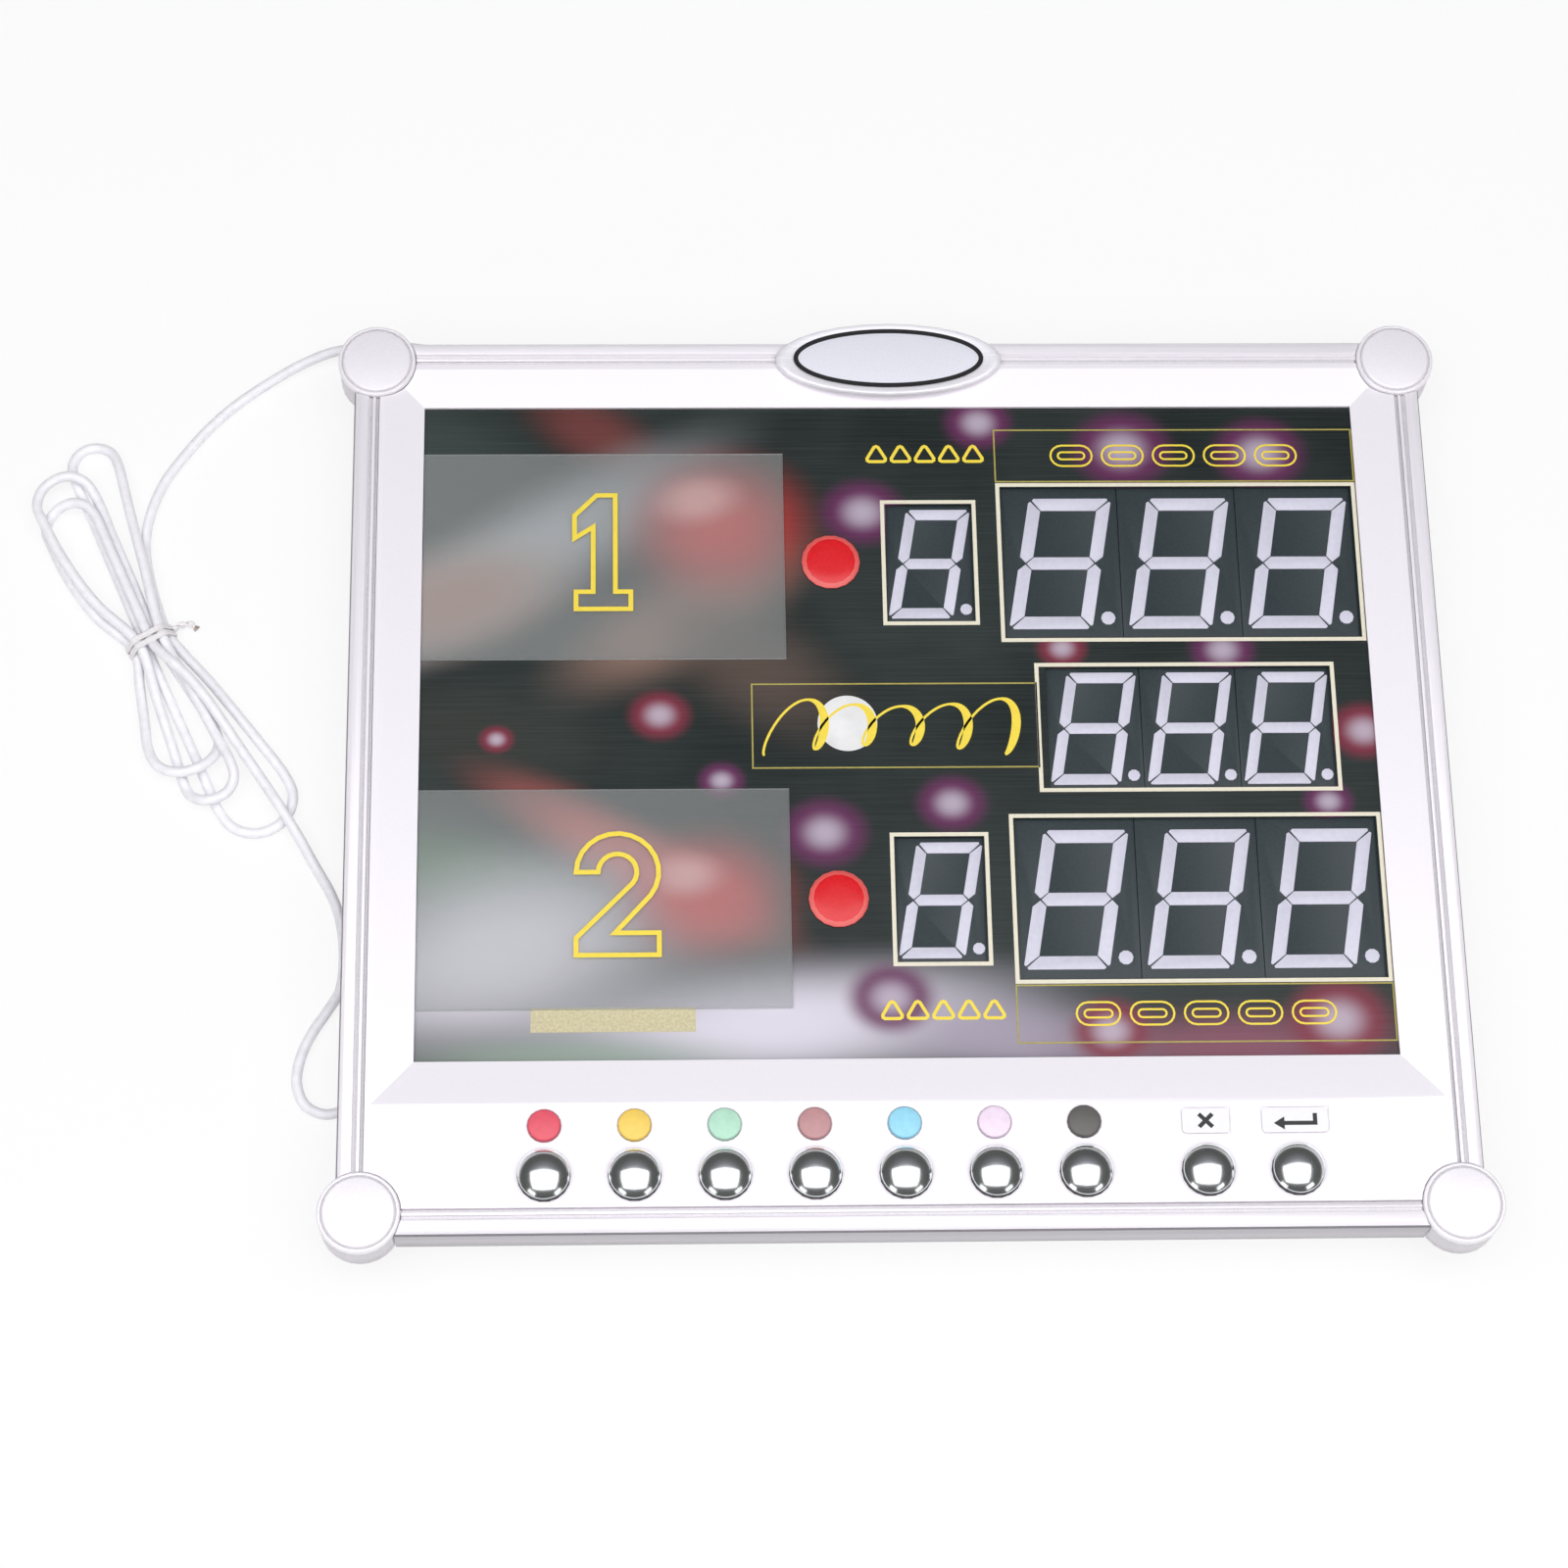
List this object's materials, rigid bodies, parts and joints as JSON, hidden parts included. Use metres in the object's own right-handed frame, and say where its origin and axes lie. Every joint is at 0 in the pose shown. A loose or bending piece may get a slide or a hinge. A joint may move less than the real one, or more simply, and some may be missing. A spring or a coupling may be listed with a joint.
{
  "type": "billiard electronic scoreboard",
  "caption": "Electronic billiard scoreboard: aluminium frame with corner posts, printed panel with LED digits, chrome push buttons, rear case and a tied power lead",
  "frame": {"origin": "middle of the back, on the face that the case lies on", "axes": "+X to the right of the display, +Y to the top of the display, +Z out of its face"},
  "size_m": [0.5716, 0.3962, 0.0417],
  "materials": {
    "badge_plate": "pearl, blank",
    "board_green": "solder resist",
    "case_sheet": "powder coat",
    "chrome": "polished plating",
    "dark_plastic": "moulded",
    "frosted_plate": "frosted, translucent",
    "lamp_red": "clear coloured lens",
    "marker_black": "soft pad",
    "marker_blue": "soft pad",
    "marker_brown": "soft pad",
    "marker_green": "soft pad",
    "marker_pink": "soft pad",
    "marker_red": "soft pad",
    "marker_yellow": "soft pad",
    "module_face": "matt, pale light bars",
    "printed_panel": "printed, satin clear coat",
    "ribbon_grey": "matt",
    "silver_anodised": "satin anodised",
    "silver_paint": "pearl silver paint",
    "white_sleeve": "smooth PVC"
  },
  "bodies": {
    "housing": {"badge_base": "silver_anodised", "badge_plate": "badge_plate", "break_digit_1": "module_face", "break_digit_2": "module_face", "break_digit_3": "module_face", "cap_bottom_left": "silver_paint", "cap_bottom_right": "silver_paint", "cap_top_left": "silver_paint", "cap_top_right": "silver_paint", "cord_gland": "dark_plastic", "cord_hank": "white_sleeve", "cord_lead": "white_sleeve", "cord_tail": "white_sleeve", "cord_tie": "white_sleeve", "dc_plug": "dark_plastic", "display_board": "board_green", "display_panel": "printed_panel", "frames_digit_a": "module_face", "frames_digit_b": "module_face", "front_surround": "silver_paint", "key_board": "board_green", "marker_black": "marker_black", "marker_blue": "marker_blue", "marker_brown": "marker_brown", "marker_green": "marker_green", "marker_pink": "marker_pink", "marker_red": "marker_red", "marker_yellow": "marker_yellow", "name_plate_a": "frosted_plate", "name_plate_b": "frosted_plate", "post_bottom_left": "silver_anodised", "post_bottom_right": "silver_anodised", "post_top_left": "silver_anodised", "post_top_right": "silver_anodised", "power_board": "board_green", "rail_bottom": "silver_anodised", "rail_left": "silver_anodised", "rail_right": "silver_anodised", "rail_top": "silver_anodised", "rear_case": "case_sheet", "rear_panel": "case_sheet", "ribbon_cable": "ribbon_grey", "score_digit_a_1": "module_face", "score_digit_a_2": "module_face", "score_digit_a_3": "module_face", "score_digit_b_1": "module_face", "score_digit_b_2": "module_face", "score_digit_b_3": "module_face", "turn_lamp_a": "lamp_red", "turn_lamp_b": "lamp_red"},
    "button_ball_1": {"button_ball_1": "chrome"},
    "button_ball_2": {"button_ball_2": "chrome"},
    "button_ball_3": {"button_ball_3": "chrome"},
    "button_ball_4": {"button_ball_4": "chrome"},
    "button_ball_5": {"button_ball_5": "chrome"},
    "button_ball_6": {"button_ball_6": "chrome"},
    "button_ball_7": {"button_ball_7": "chrome"},
    "button_cancel": {"button_cancel": "chrome"},
    "button_confirm": {"button_confirm": "chrome"}
  },
  "joints": [
    {"name": "button_ball_1_press", "type": "slide", "parent": "housing", "child": "button_ball_1", "axis": [0, 0, -1], "range_m": [0, 0.0015], "stiffness_N_per_m": 1000, "springref_m": -0.001},
    {"name": "button_ball_2_press", "type": "slide", "parent": "housing", "child": "button_ball_2", "axis": [0, 0, -1], "range_m": [0, 0.0015], "stiffness_N_per_m": 1000, "springref_m": -0.001},
    {"name": "button_ball_3_press", "type": "slide", "parent": "housing", "child": "button_ball_3", "axis": [0, 0, -1], "range_m": [0, 0.0015], "stiffness_N_per_m": 1000, "springref_m": -0.001},
    {"name": "button_ball_4_press", "type": "slide", "parent": "housing", "child": "button_ball_4", "axis": [0, 0, -1], "range_m": [0, 0.0015], "stiffness_N_per_m": 1000, "springref_m": -0.001},
    {"name": "button_ball_5_press", "type": "slide", "parent": "housing", "child": "button_ball_5", "axis": [0, 0, -1], "range_m": [0, 0.0015], "stiffness_N_per_m": 1000, "springref_m": -0.001},
    {"name": "button_ball_6_press", "type": "slide", "parent": "housing", "child": "button_ball_6", "axis": [0, 0, -1], "range_m": [0, 0.0015], "stiffness_N_per_m": 1000, "springref_m": -0.001},
    {"name": "button_ball_7_press", "type": "slide", "parent": "housing", "child": "button_ball_7", "axis": [0, 0, -1], "range_m": [0, 0.0015], "stiffness_N_per_m": 1000, "springref_m": -0.001},
    {"name": "button_cancel_press", "type": "slide", "parent": "housing", "child": "button_cancel", "axis": [0, 0, -1], "range_m": [0, 0.0015], "stiffness_N_per_m": 1000, "springref_m": -0.001},
    {"name": "button_confirm_press", "type": "slide", "parent": "housing", "child": "button_confirm", "axis": [0, 0, -1], "range_m": [0, 0.0015], "stiffness_N_per_m": 1000, "springref_m": -0.001}
  ]
}
